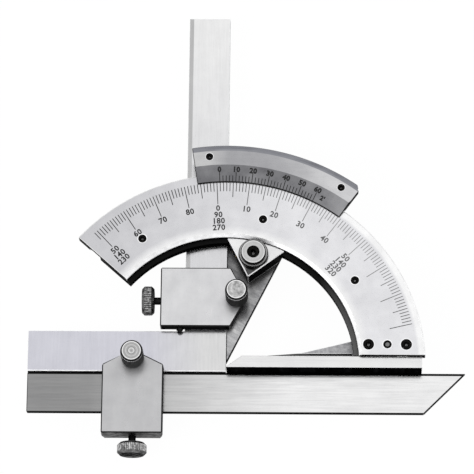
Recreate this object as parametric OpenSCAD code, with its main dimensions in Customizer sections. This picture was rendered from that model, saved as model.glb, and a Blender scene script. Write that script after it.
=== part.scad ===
// Angle finder with arms: a universal bevel protractor for 0 to 320 degrees.
// It lies on its back. X runs along the base's measuring face, Y runs up the
// square's upright leg and Z points out of the dial. The vertex of the measured
// angle, where all measuring edges meet, is at x = y = 0.
// Directions round the vertex are clock angles, from +Y towards +X.

/* [Arms] */
// Width of the square's legs
blade_w = 15.8; // [13:0.1:18]
// Thickness of the square, the straightedge and the sector plate
blade_t = 2.7; // [2.2:0.1:3.2]
// Length of the square's upright leg from the vertex
upright_len = 142; // [125:1:160]
// Length of the square's side leg from the vertex
side_leg_len = 75.2; // [68:0.1:90]
// Width of the straightedge
edge_w = 15.8; // [13:0.1:18]
// Length of the straightedge on the clamp's side of the vertex
edge_left_len = 75.1; // [68:0.1:90]
// Reach of the straightedge's sharp tip past the vertex
edge_right_len = 90.5; // [85:0.1:110]
// Small chamfer along the front of the square's lower measuring edge
square_chamfer = 0.3; // [0.2:0.05:0.6]
// Bevel along the front of the straightedge's measuring edge
edge_bevel = 0.9; // [0.6:0.05:1.2]

/* [Base] */
// How far the base's measuring face ends short of the plate's outer radius
bar_end_step = 1.3; // [1:0.1:4]
// Width of the base's bar, seen from the front
bar_w = 4.35; // [3.8:0.05:5]
// Width that the sloped back of the bar adds at its foot
bar_slope_w = 3; // [2:0.1:3.5]
// Distance of the base's screws and dowel from the plate's straight end
base_screw_rise = 4.05; // [3.4:0.05:5]
// Distance of the dowel from the plate's inner edge, along X
dowel_inset = 10.5; // [9.6:0.1:11.5]
// Distance from the dowel to each base screw
base_screw_pitch = 7.1; // [6.5:0.1:7.4]

/* [Main plate] */
// Width of the main plate, from its inner to its outer edge
plate_w = 24.9; // [23:0.1:29]
// Thickness of the main plate
plate_t = 2.4; // [2:0.1:3]
// Width of the deeper rim on the back of the plate
rim_w = 6; // [5:0.1:6.5]
// Depth of the rim behind the plate
rim_depth = 2.2; // [1.5:0.1:3]
// Width of the bevel along the plate's inner edge
inner_bevel_w = 1.3; // [0.8:0.1:1.6]
// Clock angle of the plate's left end
plate_left_deg = -48.4; // [-52:0.1:-46]
// Distance of the gear screws from the plate's inner edge
gear_screw_inset = 8.6; // [6:0.1:10]

/* [Sector gear and pinion] */
// Pitch radius of the internal sector gear
ring_pitch_r = 49; // [48.6:0.1:50]
// Teeth on the whole circle of the internal gear
ring_teeth = 196; // [186:2:206]
// Teeth on the pinion
pinion_teeth = 10; // [10:1:12]
// Thickness of the sector gear
gear_t = 3.7; // [3:0.1:4.5]
// Thickness of the smooth lips in front of and behind the gear's teeth
gear_lip_t = 0.8; // [0.5:0.1:1]
// Width of the guide rail that runs between the gear and the plate's rim
rail_w = 4.3; // [3:0.1:5]
// Width of the gear's ledge that shows inside the plate
ledge_w = 1.8; // [1.6:0.1:2.2]
// Free height between the arms and the gear
under_gear = 3.8; // [3.4:0.1:5]
// Angle from the brake's middle line to the pinion
pinion_side_deg = 6.15; // [6:0.05:6.5]
// Diameter of the pinion's shaft
pinion_shaft_d = 3; // [2.6:0.1:3.2]
// Diameter of the fine-adjustment knob on the back
back_knob_d = 13; // [11:0.5:15]
// Height of the fine-adjustment knob
back_knob_h = 7.2; // [6:0.1:9]

/* [Sector plate] */
// Clock angle of the sector plate's slanted edge
sector_deg = 26.3; // [25.5:0.1:27]
// Height of the sector plate's lower corner above the vertex
sector_corner_y = 3.4; // [3:0.1:4]
// Largest opening of the base from the straightedge, in degrees
swing_max = 50; // [48:1:50]
// Room left between the sector plate and the base at the largest opening
stop_gap = 0.95; // [0.6:0.05:1.2]

/* [Vernier] */
// How far the vernier's thin edge reaches over the main plate's rim
vernier_lap = 3.25; // [2.5:0.05:4]
// Width of the vernier's slope, which carries its divisions
vernier_slope_w = 6.35; // [5.5:0.05:7]
// Width of the vernier
vernier_w = 14.25; // [13:0.05:18]
// Height of the vernier above the main plate
vernier_t = 2.35; // [2:0.05:3]
// Clock angle of the vernier's left end
vernier_left_deg = -9.1; // [-10:0.1:-8]
// Clock angle of the vernier's right end
vernier_right_deg = 36.2; // [35:0.1:37]
// Angle from each end of the vernier to its screw
vernier_screw_in_deg = 4.25; // [3:0.05:6]

/* [Brake] */
// Length of the brake block, from the plate to its lower corner
brake_len = 14.7; // [13:0.1:16]
// Distance of the brake stud from the plate's inner edge
stud_inset = 5.7; // [5.5:0.1:6.2]
// Diameter of the brake stud in the sector plate
stud_d = 3; // [2.8:0.1:3.1]
// Diameter of the stud's black head
stud_head_d = 4.4; // [4:0.1:5]
// Diameter of the lock nut's knurled rim
nut_d = 11.3; // [10:0.1:12]
// Diameter of the lock nut's raised face
nut_face_d = 9.4; // [8.4:0.1:10]
// Height of the lock nut above the main plate
nut_h = 3.2; // [2.6:0.1:4.5]

/* [Clamps] */
// Width of each clamp block along the arm
clamp_w = 23.1; // [22:0.1:24]
// Distance from the held edge to the block's shoulders, over the pointed end
shoulder_x = 1.6; // [1.2:0.1:2]
// Distance from the held edge to the point where the block's slanted sides meet
apex_x = 7.4; // [7.1:0.1:8]
// Distance from the held edge to the knob's axis
knob_offset = 4; // [3.6:0.1:4.2]
// Thickness of the block in front of the arms
clamp_t = 4.9; // [4.4:0.1:5.5]
// Thickness of the wall that carries the thumb screw
clamp_wall_t = 4.8; // [4:0.1:5]
// Depth of that wall behind the arms' back
clamp_wall_drop = 1.5; // [1:0.1:2]
// Distance of the lower clamp from the vertex
lower_clamp_x = 35; // [30:0.1:50]
// Diameter of the clamp knobs
knob_d = 8.6; // [7.6:0.1:9.2]
// Height of the clamp knobs
knob_h = 10.6; // [9:0.1:12]
// Diameter of the clamp screws' threads
clamp_screw_d = 3; // [2.6:0.1:3.2]
// Diameter of the thumb screws' heads
thumb_d = 11.2; // [10:0.1:12]
// Thickness of the thumb screws' heads
thumb_head_t = 4.6; // [4:0.1:5.5]
// Length of the thumb screws' bare necks
thumb_neck_len = 2.6; // [2:0.1:4]
// Thickness of the pressure pads
pad_t = 3.4; // [3.2:0.1:3.5]
// Diameter of the pins that carry the pads
pad_pin_d = 2.6; // [2.2:0.1:2.7]
// How far the upper pad's pin stands out of its block
pin_proud = 1.5; // [1:0.1:2]

/* [Hidden] */
$fn = 96;

// Clearances
over = 1;               // overrun of a cut past the face it opens
touch = 0.05;           // gap between pieces that lie against each other
shaft_gap = 0.06;       // radial play of a shaft in its bore
run_gap = 0.35;         // gap between curved pieces that pass each other
slide_gap = 0.03;       // gap between the square and the sector plate's edge
pad_gap = 0.4;          // from the guide rail to the gear and to the plate's rim
bridge_gap = 0.5;       // from the main plate's outer edge to the bridge
slant_margin_deg = 3.4; // room between the bar's slanted end and the square, fully open

// Levels above the back of the arms
gear_z = blade_t + under_gear;
plate_z = gear_z + gear_t;
face_z = plate_z + plate_t;
vernier_z = face_z + touch;
vernier_top_z = vernier_z + vernier_t;
clamp_z = blade_t + 2 * touch;
clamp_top_z = clamp_z + clamp_t;

// Sector gear and pinion, with straight-sided teeth that leave some backlash
tooth_module = 2 * ring_pitch_r / ring_teeth;
tooth_pitch_deg = 360 / ring_teeth;
tooth_width_share = 0.38;
tooth_top_share = 0.8;
tooth_root_share = 1.15;
tooth_slope_deg = 20;
pinion_deg = sector_deg / 2 - pinion_side_deg;
ring_tip_r = ring_pitch_r - tooth_top_share * tooth_module;
ring_root_r = ring_pitch_r + tooth_root_share * tooth_module;
pinion_pitch_r = pinion_teeth * tooth_module / 2;
pinion_row_r = ring_pitch_r - pinion_pitch_r;
pinion_tip_r = pinion_pitch_r + tooth_top_share * tooth_module;
pinion_root_r = pinion_pitch_r - tooth_root_share * tooth_module;
tooth_half_w = tooth_width_share * PI * tooth_module / 2;
tooth_cut_run = 0.1;    // the gaps are cut from this far inside the gear's smooth bore
gear_left_deg = plate_left_deg;
gear_end_gap = 0.25;    // from the gear's lower end to the bar
teeth_z = gear_z + gear_lip_t;
teeth_top_z = plate_z - gear_lip_t;
gear_face_margin = 0.15; // the pinion is this much shorter than the gear's teeth at each side

// Main plate
plate_in_r = ring_tip_r + ledge_w;
plate_r = plate_in_r + plate_w;
gear_screw_row_r = plate_in_r + gear_screw_inset;
inner_bevel_h = 0.7 * inner_bevel_w;
outer_chamfer = 0.3;
rim_z = plate_z - rim_depth;
rim_in_r = plate_r - rim_w;
gear_outer_r = rim_in_r - rail_w - 2 * pad_gap;
gear_screw_deg = [-32.9, 13.4, 55.5];

// Screws
small_head_r = 1.55;
small_shank_r = 1;
small_head_t = 1.5;
large_head_r = 2.05;
large_shank_r = 1.3;
dowel_r = 1.55;
vernier_screw_r = 1.4;
bridge_screw_r = 1.6;
head_sink = 0.12;       // screw heads lie this far below the face
screw_bite = 2.4;       // length of a screw in the last piece that it holds
socket_r_share = 0.45;
socket_depth_share = 0.5;

// Base
base_len = plate_r - bar_end_step;
base_screw_y = bar_w + base_screw_rise;
dowel_x = plate_in_r + dowel_inset;
bar_slant_deg = 90 - swing_max - slant_margin_deg;
foot_left_x = ring_tip_r + 0.4 * ledge_w;
swing_line_deg = 90 - sector_deg - swing_max;
swing_line_offset = sector_corner_y * sin(sector_deg) - stop_gap;
bar_tip_gap = 0.15;     // from the vertex to the bar's sharp tip
tip_relief_h = 0.4;     // extra height of the relief over the sector plate

// Vernier
vernier_in_r = plate_r - vernier_lap;
vernier_flat_r = vernier_in_r + vernier_slope_w;
vernier_out_r = vernier_in_r + vernier_w;
vernier_lip_t = 0.8;
vernier_chamfer_w = 1.6;
vernier_chamfer_h = 0.9;
vernier_screw_row_r = (vernier_flat_r + vernier_out_r - vernier_chamfer_w) / 2 + touch * 5;
vernier_screw_deg = [vernier_left_deg + vernier_screw_in_deg,
    vernier_right_deg - vernier_screw_in_deg];
vernier_corner_cut = 1.8;

// Sector plate and bridge
bridge_in_r = plate_r + bridge_gap;
bridge_out_r = vernier_out_r - 2 * touch;
bridge_under = 1.6;     // thickness of the bridge under the vernier
bridge_z = vernier_z - bridge_under;
bridge_foot_step = 0.3; // the foot is set back this far under the bridge
bridge_screw_shares = [0.2, 0.8];
bridge_screw_row_r = (bridge_in_r + bridge_out_r) / 2;
rail_in_r = gear_outer_r + pad_gap;
rail_out_r = rim_in_r - pad_gap;
edge_margin_deg = 1;    // from the sector plate's edges to the rail and the bridge's foot
rail_top_gap = 0.3;

// Brake
brake_deg = sector_deg / 2;
brake_corner_r = plate_in_r - brake_len;
stud_row_r = plate_in_r - stud_inset;
lip_z = plate_z + touch;
brake_sink = 0.7;       // the block's face lies this far below the main plate's
brake_top_z = face_z - brake_sink;
lip_r = plate_in_r - run_gap;
brake_body_r = ring_tip_r - run_gap;
pocket_gap = 0.35;      // room round the pinion in the block
nut_gap = 0.25;         // from the main plate to the nut's rim
nut_z = brake_top_z + touch;
nut_rim_z = face_z + nut_gap;
nut_step_z = nut_rim_z + 0.45 * nut_h;
nut_top_z = nut_rim_z + nut_h;
nut_collar_r = nut_face_d / 2 - 0.3;
nut_chamfer = 0.35;
stud_recess = 0.5;      // the stud's end lies this far below the nut's face

// Pinion, bush and back knob
bush_r = 2.6;
bush_flange_r = 4.2;
bush_flange_t = 0.9;
collar_r = pinion_shaft_d / 2 + 0.3;
knob_gap = 0.25;
back_knob_z = -bush_flange_t - knob_gap;
back_hub_h = 1.2;
back_hub_r = 4;
grub_r = 0.8;
grub_z = back_knob_z - back_hub_h - back_knob_h / 2;

// Clamps, drawn with the held edge on x = 0 and the arm on its left
side_deg = atan2(clamp_w / 2, apex_x - shoulder_x);
apex_r = (apex_x - knob_offset) * sin(side_deg);
wall_taper = 1.2;       // the wall is this much narrower at each end of its foot
wall_step = 0.9;        // from the pad to the wall
slot_gap = 0.25;
slot_skin = 1;          // metal left in front of the pad's slot
pad_w = 18;
pad_z = 0.15;
pad_pin_r = pad_pin_d / 2;
pad_pin_z = clamp_z + 1.9;
pad_top_z = clamp_top_z - slot_skin - slot_gap;
thumb_z = blade_t / 2;
thumb_r = clamp_screw_d / 2;
thumb_neck_r = 1.4;
thumb_tip_r = 1.1;
thumb_tip_len = 0.4;
thumb_chamfer = 1.2;
knob_seat_z = clamp_top_z + touch;
knob_chamfer = 0.6;
knob_top_z = knob_seat_z + knob_h;
screw_end_z = 0.3;      // the clamp screws end this far above the arms' back

// Places of the two clamps
clamp_side_gap = 0.7;   // from the side leg to the upper clamp
upper_clamp_y = blade_w + clamp_side_gap + clamp_w / 2;

// A point at radius r and clock angle a
function at(r, a) = [r * sin(a), r * cos(a)];

// Angle in degrees of an arc of length w at radius r
function arc_deg(w, r) = w / r * 180 / PI;

// Height at x of the line that limits the sector plate at its largest opening
function swing_line_y(x) =
    (swing_line_offset + x * sin(swing_line_deg)) / cos(swing_line_deg);

// Clock angle of the sector plate's slanted edge at radius r
function edge_deg(r) = sector_deg - asin(sector_corner_y * sin(sector_deg) / r);

// A body of revolution about the vertex between two clock angles
module arc_body(a0, a1, profile) {
    rotate([0, 0, 90 - a1]) rotate_extrude(angle = a1 - a0) polygon(profile);
}

// A flat ring segment between two radii, two levels and two clock angles
module ring_segment(r0, r1, z0, z1, a0, a1) {
    arc_body(a0, a1, [[r0, z0], [r1, z0], [r1, z1], [r0, z1]]);
}

// An upright cylinder between two levels, at a plan position
module post(p, r, z0, z1) {
    translate([p[0], p[1], z0]) cylinder(r = r, h = z1 - z0);
}

// A plan outline raised between two levels
module slab(outline, z0, z1) {
    translate([0, 0, z0]) linear_extrude(height = z1 - z0) polygon(outline);
}

// Everything below a height y, to trim the arcs above the bar
module below(y) {
    size = 4 * plate_r;
    translate([-size / 2, y - size, -size / 2]) cube([size, size, size]);
}

// A flush screw with a socket in its head, set in from the face at z1
module flush_screw(p, head_r, shank_r, z0, z1) {
    difference() {
        union() {
            post(p, head_r, z1 - head_sink - small_head_t, z1 - head_sink);
            post(p, shank_r, z0, z1 - head_sink - small_head_t);
        }
        post(p, head_r * socket_r_share, z1 - head_sink - small_head_t * socket_depth_share, z1);
    }
}

// The room that a flush screw needs
module screw_room(p, head_r, shank_r, z0, z1) {
    post(p, head_r + touch, z1 - head_sink - small_head_t - touch, z1 + over);
    post(p, shank_r + touch, z0, z1);
}

// Base side

function gear_screw_at(i) = at(gear_screw_row_r, gear_screw_deg[i]);
function base_screw_at(side) = [dowel_x + side * base_screw_pitch, base_screw_y];

module main_plate() {
    color("gainsboro") difference() {
        arc_body(plate_left_deg, 90, [
            [plate_in_r, plate_z], [rim_in_r, plate_z], [rim_in_r, rim_z], [plate_r, rim_z],
            [plate_r, face_z - outer_chamfer], [plate_r - outer_chamfer, face_z],
            [plate_in_r + inner_bevel_w, face_z], [plate_in_r, face_z - inner_bevel_h]]);
        below(bar_w);
        for (i = [0 : 2])
            screw_room(gear_screw_at(i), small_head_r, small_shank_r, plate_z - over, face_z);
        for (side = [-1, 1])
            screw_room(base_screw_at(side), large_head_r, large_shank_r, rim_z - over, face_z);
        post([dowel_x, base_screw_y], dowel_r + touch, plate_z - over, face_z + over);
    }
}

// Half the width of a tooth at a height over its pitch line
function tooth_half(height) = tooth_half_w - height * tan(tooth_slope_deg);

// Four corners of a tooth whose middle is at clock angle a
function tooth(a, pitch_r, root_r, tip_r) =
    let (root = arc_deg(tooth_half(-abs(root_r - pitch_r)), root_r),
        tip = arc_deg(tooth_half(abs(tip_r - pitch_r)), tip_r))
    [at(root_r, a - root), at(tip_r, a - tip), at(tip_r, a + tip), at(root_r, a + root)];

// Outline that cuts the gaps of the internal teeth, closed through the vertex; one tooth faces
// the pinion
function ring_teeth_outline() = [[0, 0], for (k = [
    floor((gear_left_deg - pinion_deg) / tooth_pitch_deg) - 1
    : ceil((90 - pinion_deg) / tooth_pitch_deg) + 1])
        each tooth(pinion_deg + k * tooth_pitch_deg, ring_pitch_r, ring_root_r,
            ring_tip_r - tooth_cut_run)];

// Internal gear whose teeth lie between two smooth lips
module sector_gear() {
    color("dimgray") difference() {
        ring_segment(ring_tip_r, gear_outer_r, gear_z, plate_z, gear_left_deg, 90);
        slab(ring_teeth_outline(), teeth_z, teeth_top_z);
        below(bar_w + gear_end_gap);
        for (i = [0 : 2])
            post(gear_screw_at(i), small_shank_r + touch,
                plate_z - screw_bite - touch, plate_z + over);
        post(base_screw_at(-1), large_shank_r + touch, gear_z - over, plate_z + over);
        post([dowel_x, base_screw_y], dowel_r + touch, gear_z - over, plate_z + over);
    }
}

module gear_screws() {
    color("black") for (i = [0 : 2])
        flush_screw(gear_screw_at(i), small_head_r, small_shank_r, plate_z - screw_bite, face_z);
}

// Bar with the measuring face, gusset behind it and foot under the gear
module base_blade() {
    foot_top_y = swing_line_y(foot_left_x);
    gusset = [[0, 0], [base_len, 0], [base_len, foot_top_y], [foot_left_x, foot_top_y],
        [0, swing_line_y(0)]];
    color("silver") difference() {
        intersection() {
            union() {
                slab([[0, 0], [base_len, 0], [base_len, bar_w], [0, bar_w]], 0, plate_z);
                slab(gusset, 0, blade_t);
                intersection() {
                    slab(gusset, 0, plate_z);
                    bar_back();
                }
                slab([[foot_left_x, 0], [base_len, 0], [base_len, foot_top_y],
                    [foot_left_x, foot_top_y]], 0, gear_z);
                rim_pad(foot_top_y);
            }
            slab([[bar_tip_gap, 0], [base_len + over, 0], [base_len + over, plate_r],
                [bar_tip_gap + plate_r / tan(bar_slant_deg), plate_r]], -over, plate_z + over);
        }
        slab([[0, swing_line_y(0)], [base_len, swing_line_y(base_len)], [base_len, plate_r],
            [0, plate_r]], -over, blade_t + tip_relief_h);
        for (side = [-1, 1])
            post(base_screw_at(side), large_shank_r + touch,
                gear_z - screw_bite - touch, plate_z + over);
        post([dowel_x, base_screw_y], dowel_r + touch, gear_z - screw_bite - touch, plate_z + over);
    }
}

// Sloped back of the bar, which stiffens it as far as the gear's bore
module bar_back() {
    len = sqrt(pow(ring_tip_r - run_gap, 2) - pow(bar_w + bar_slope_w, 2));
    translate([0, bar_w, 0]) rotate([90, 0, 90]) linear_extrude(height = len) polygon([
        [-touch, 0], [bar_slope_w, 0], [bar_slope_w, blade_t], [0, plate_z], [-touch, plate_z]]);
}

// Pad of the foot that fills the space between the gear and the plate's rim
module rim_pad(top_y) {
    intersection() {
        ring_segment(gear_outer_r + pad_gap, rim_in_r - pad_gap, gear_z - touch, plate_z, 0, 90);
        cube([base_len, top_y, plate_z]);
    }
}

module base_screws() {
    color("black") for (side = [-1, 1])
        flush_screw(base_screw_at(side), large_head_r, large_shank_r, gear_z - screw_bite, face_z);
}

module base_dowel() {
    color("black") post([dowel_x, base_screw_y], dowel_r, gear_z - screw_bite, face_z - head_sink);
}

// Sector side

function knob_at() = [knob_offset, upper_clamp_y];
function stud_at() = at(stud_row_r, brake_deg);
function pinion_at() = at(pinion_row_r, pinion_deg);

module sector_plate() {
    reach = 2 * bridge_out_r;
    color("darkgray") difference() {
        union() {
            intersection() {
                slab([[slide_gap, sector_corner_y + slide_gap / tan(sector_deg)], [slide_gap, reach],
                    [reach * sin(sector_deg), sector_corner_y + reach * cos(sector_deg)]], 0, blade_t);
                cylinder(r = bridge_out_r, h = blade_t);
            }
            ring_segment(rail_in_r, rail_out_r, blade_t - touch, plate_z - rail_top_gap,
                edge_margin_deg, edge_deg(rail_in_r) - edge_margin_deg);
        }
        post(knob_at(), clamp_screw_d / 2 + shaft_gap, -over, blade_t + over);
        post(stud_at(), stud_d / 2 + touch, -over, blade_t + over);
        post(pinion_at(), bush_r + touch, -over, blade_t + over);
        for (a = bridge_screw_shares * sector_deg) {
            post(at(bridge_screw_row_r, a), small_shank_r + touch, -over, blade_t + over);
            post(at(bridge_screw_row_r, a), bridge_screw_r + touch, -over, small_head_t);
        }
    }
}

module vernier_bridge() {
    color("darkgray") difference() {
        union() {
            ring_segment(bridge_in_r, bridge_out_r, bridge_z, vernier_z - touch,
                vernier_left_deg, vernier_right_deg);
            ring_segment(bridge_in_r + bridge_foot_step, bridge_out_r - bridge_foot_step,
                blade_t, bridge_z + touch, edge_margin_deg,
                edge_deg(bridge_in_r) - edge_margin_deg);
        }
        for (a = vernier_screw_deg)
            post(at(vernier_screw_row_r, a), small_shank_r + touch, bridge_z - over, vernier_z);
        for (a = bridge_screw_shares * sector_deg)
            post(at(bridge_screw_row_r, a), small_shank_r + touch,
                blade_t - over, blade_t + screw_bite + touch);
        vernier_corner();
    }
}

// Cuts the outer right corner of the vernier and its bridge
module vernier_corner() {
    corner = at(vernier_out_r, vernier_right_deg);
    translate([corner[0], corner[1], blade_t]) rotate([0, 0, 45 - vernier_right_deg])
        translate([-vernier_corner_cut / sqrt(2), -vernier_corner_cut * 2, 0])
            cube([vernier_corner_cut * 2, vernier_corner_cut * 4, vernier_top_z]);
}

module vernier() {
    color("lightsteelblue") difference() {
        arc_body(vernier_left_deg, vernier_right_deg, [
            [vernier_in_r, vernier_z], [vernier_out_r, vernier_z],
            [vernier_out_r, vernier_top_z - vernier_chamfer_h],
            [vernier_out_r - vernier_chamfer_w, vernier_top_z],
            [vernier_flat_r, vernier_top_z], [vernier_in_r, vernier_z + vernier_lip_t]]);
        for (a = vernier_screw_deg)
            screw_room(at(vernier_screw_row_r, a), vernier_screw_r, small_shank_r,
                vernier_z - over, vernier_top_z);
        vernier_corner();
    }
}

module vernier_screws() {
    color("black") for (a = vernier_screw_deg)
        flush_screw(at(vernier_screw_row_r, a), vernier_screw_r, small_shank_r,
            bridge_z + touch, vernier_top_z);
}

module bridge_screws() {
    color("dimgray") for (a = bridge_screw_shares * sector_deg) {
        post(at(bridge_screw_row_r, a), bridge_screw_r, head_sink, small_head_t - touch);
        post(at(bridge_screw_row_r, a), small_shank_r, head_sink, blade_t + screw_bite);
    }
}

// Three-cornered block that bears on the ledge of the sector gear
module brake_block() {
    tip = at(brake_corner_r, brake_deg);
    left = at(plate_in_r, 0);
    right = at(plate_in_r, 2 * brake_deg);
    outline = [tip, tip + 2 * (left - tip), tip + 2 * (right - tip)];
    color("whitesmoke") difference() {
        union() {
            intersection() {
                slab(outline, clamp_z, lip_z);
                post([0, 0], brake_body_r, 0, lip_z);
            }
            intersection() {
                slab(outline, lip_z, brake_top_z);
                post([0, 0], lip_r, lip_z - over, brake_top_z + over);
            }
        }
        post(pinion_at(), pinion_tip_r + pocket_gap, -over, lip_z);
        post(stud_at(), stud_d / 2 + touch, -over, brake_top_z + over);
    }
}

module brake_stud() {
    color("black") difference() {
        union() {
            post(stud_at(), stud_d / 2, screw_end_z, nut_z);
            post(stud_at(), stud_head_d / 2, nut_z, nut_top_z - stud_recess);
        }
        post(stud_at(), stud_head_d / 2 * socket_r_share, nut_top_z - 2 * stud_recess, nut_top_z);
    }
}

module lock_nut() {
    bore_r = stud_head_d / 2 + shaft_gap;
    color("lightgray") translate([stud_at()[0], stud_at()[1], 0]) rotate_extrude() polygon([
        [bore_r, nut_z], [nut_collar_r, nut_z], [nut_collar_r, nut_rim_z],
        [nut_d / 2, nut_rim_z], [nut_d / 2, nut_step_z - nut_chamfer],
        [nut_d / 2 - nut_chamfer, nut_step_z], [nut_face_d / 2, nut_step_z],
        [nut_face_d / 2, nut_top_z - nut_chamfer], [nut_face_d / 2 - nut_chamfer, nut_top_z],
        [bore_r, nut_top_z]]);
}

module pinion_bush() {
    color("goldenrod") difference() {
        union() {
            post(pinion_at(), bush_r, -touch, blade_t);
            post(pinion_at(), bush_flange_r, -bush_flange_t, -touch / 2);
        }
        post(pinion_at(), pinion_shaft_d / 2 + shaft_gap, -bush_flange_t - over, blade_t + over);
    }
}

// Outline of the pinion, with a gap facing the ring tooth on its own radius
function pinion_outline() = [for (k = [0 : pinion_teeth - 1])
    each tooth((k + 0.5) * 360 / pinion_teeth, pinion_pitch_r, pinion_root_r, pinion_tip_r)];

module pinion() {
    shaft_r = pinion_shaft_d / 2;
    color("silver") {
        translate([pinion_at()[0], pinion_at()[1], 0]) rotate([0, 0, -pinion_deg])
            slab(pinion_outline(), teeth_z + gear_face_margin, teeth_top_z - gear_face_margin);
        post(pinion_at(), collar_r, blade_t + 2 * touch, teeth_z + gear_face_margin + touch);
        post(pinion_at(), shaft_r, back_knob_z - back_hub_h - back_knob_h + touch,
            blade_t + 3 * touch);
    }
}

module back_knob() {
    low_z = back_knob_z - back_hub_h - back_knob_h;
    bore_r = pinion_shaft_d / 2 + touch;
    color("lightgray") difference() {
        translate([pinion_at()[0], pinion_at()[1], 0]) rotate_extrude() polygon([
            [bore_r, low_z], [back_knob_d / 2 - knob_chamfer, low_z],
            [back_knob_d / 2, low_z + knob_chamfer],
            [back_knob_d / 2, low_z + back_knob_h - knob_chamfer],
            [back_knob_d / 2 - knob_chamfer, low_z + back_knob_h],
            [back_hub_r, low_z + back_knob_h], [back_hub_r, back_knob_z], [bore_r, back_knob_z]]);
        grub_axis(grub_r + touch, pinion_shaft_d / 2 - touch, back_knob_d / 2 + over);
    }
}

// A cylinder along the back knob's radius, at the grub screw's place
module grub_axis(r, from, to) {
    translate([pinion_at()[0], pinion_at()[1], grub_z]) rotate([0, 90, 0])
        translate([0, 0, from]) cylinder(r = r, h = to - from);
}

module knob_grub() {
    color("dimgray") grub_axis(grub_r, pinion_shaft_d / 2 + touch, back_knob_d / 2 - knob_chamfer);
}

// Clamps: the same five pieces serve both arms, and held_w is the held arm's width

function pad_in_x(held_w) = -held_w - 2 * touch;
function pad_out_x(held_w) = pad_in_x(held_w) - pad_t;
function pad_mid_x(held_w) = pad_in_x(held_w) - pad_t / 2;
function wall_x(held_w) = pad_out_x(held_w) - wall_step;
function end_x(held_w) = wall_x(held_w) - clamp_wall_t;

module clamp_block(held_w) {
    half = clamp_w / 2;
    tangent = [knob_offset + apex_r * sin(side_deg), apex_r * cos(side_deg)];
    slot_l = pad_t + 2 * slot_gap;
    slot_w = pad_w + 2 * slot_gap;
    difference() {
        union() {
            slab([[end_x(held_w), -half], [shoulder_x, -half], [tangent[0], -tangent[1]], tangent,
                [shoulder_x, half], [end_x(held_w), half]], clamp_z, clamp_top_z);
            post([knob_offset, 0], apex_r, clamp_z, clamp_top_z);
            translate([end_x(held_w), 0, 0]) rotate([90, 0, 90])
                linear_extrude(height = clamp_wall_t) polygon([
                    [-half, clamp_z + touch], [-half, clamp_z], [-half + wall_taper, -clamp_wall_drop],
                    [half - wall_taper, -clamp_wall_drop], [half, clamp_z], [half, clamp_z + touch]]);
        }
        translate([pad_out_x(held_w) - slot_gap, -slot_w / 2, clamp_z - over])
            cube([slot_l, slot_w, pad_top_z + slot_gap - clamp_z + over]);
        post([knob_offset, 0], clamp_screw_d / 2 + shaft_gap, clamp_z - over, clamp_top_z + over);
        pin_axis(held_w, pad_pin_r + touch, -half - over, clamp_w + 2 * over);
        translate([pad_out_x(held_w), 0, thumb_z]) rotate([0, -90, 0])
            cylinder(r = thumb_r + shaft_gap, h = 2 * clamp_w);
    }
}

// A cylinder across the clamp, at the pad pin's place
module pin_axis(held_w, r, from, len) {
    translate([pad_mid_x(held_w), from, pad_pin_z]) rotate([-90, 0, 0]) cylinder(r = r, h = len);
}

module pressure_pad(held_w) {
    difference() {
        translate([pad_out_x(held_w), -pad_w / 2, pad_z]) cube([pad_t, pad_w, pad_top_z - pad_z]);
        pin_axis(held_w, pad_pin_r + touch, -pad_w / 2 - over, pad_w + 2 * over);
    }
}

module pad_pin(held_w, proud) {
    pin_axis(held_w, pad_pin_r, -clamp_w / 2 - proud, clamp_w - touch);
}

module clamp_knob() {
    shank_r = clamp_screw_d / 2;
    head_r = knob_d / 2;
    translate([knob_offset, 0, 0]) rotate_extrude() polygon([
        [0, screw_end_z], [shank_r, screw_end_z], [shank_r, knob_seat_z],
        [head_r - knob_chamfer, knob_seat_z], [head_r, knob_seat_z + knob_chamfer],
        [head_r, knob_top_z - knob_chamfer], [head_r - knob_chamfer, knob_top_z], [0, knob_top_z]]);
}

module thumb_screw(held_w) {
    wall_len = pad_out_x(held_w) - end_x(held_w);
    head_from = wall_len + thumb_neck_len;
    head_to = head_from + thumb_head_t;
    head_r = thumb_d / 2;
    translate([pad_out_x(held_w), 0, thumb_z]) rotate([0, -90, 0]) rotate_extrude() polygon([
        [0, touch], [thumb_tip_r, touch], [thumb_r, touch + thumb_tip_len],
        [thumb_r, wall_len], [thumb_neck_r, wall_len], [thumb_neck_r, head_from],
        [head_r - thumb_chamfer, head_from], [head_r, head_from + thumb_chamfer],
        [head_r, head_to - thumb_chamfer], [head_r - thumb_chamfer, head_to], [0, head_to]]);
}

module at_upper_clamp() {
    translate([0, upper_clamp_y, 0]) children();
}

module at_lower_clamp() {
    translate([-lower_clamp_x, 0, 0]) rotate([0, 0, 90]) children();
}

module upper_clamp_block() { color("lightgray") at_upper_clamp() clamp_block(blade_w); }
module upper_pressure_pad() { color("dimgray") at_upper_clamp() pressure_pad(blade_w); }
module upper_pad_pin() { color("dimgray") at_upper_clamp() pad_pin(blade_w, pin_proud); }
module upper_clamp_knob() { color("silver") at_upper_clamp() clamp_knob(); }
module upper_thumb_screw() { color("gray") at_upper_clamp() thumb_screw(blade_w); }
module lower_clamp_block() { color("lightgray") at_lower_clamp() clamp_block(edge_w); }
module lower_pressure_pad() { color("dimgray") at_lower_clamp() pressure_pad(edge_w); }
module lower_pad_pin() { color("dimgray") at_lower_clamp() pad_pin(edge_w, 0); }
module lower_clamp_knob() { color("silver") at_lower_clamp() clamp_knob(); }
module lower_thumb_screw() { color("gray") at_lower_clamp() thumb_screw(edge_w); }

// Arms

// Takes the front corner off an edge that runs along X at y = 0, with the metal at y < 0
module front_chamfer(from, to, w) {
    translate([from, 0, 0]) rotate([90, 0, 90]) linear_extrude(height = to - from) polygon([
        [-w - over, blade_t + over], [over, blade_t - w - over], [over, blade_t + over]]);
}

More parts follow.
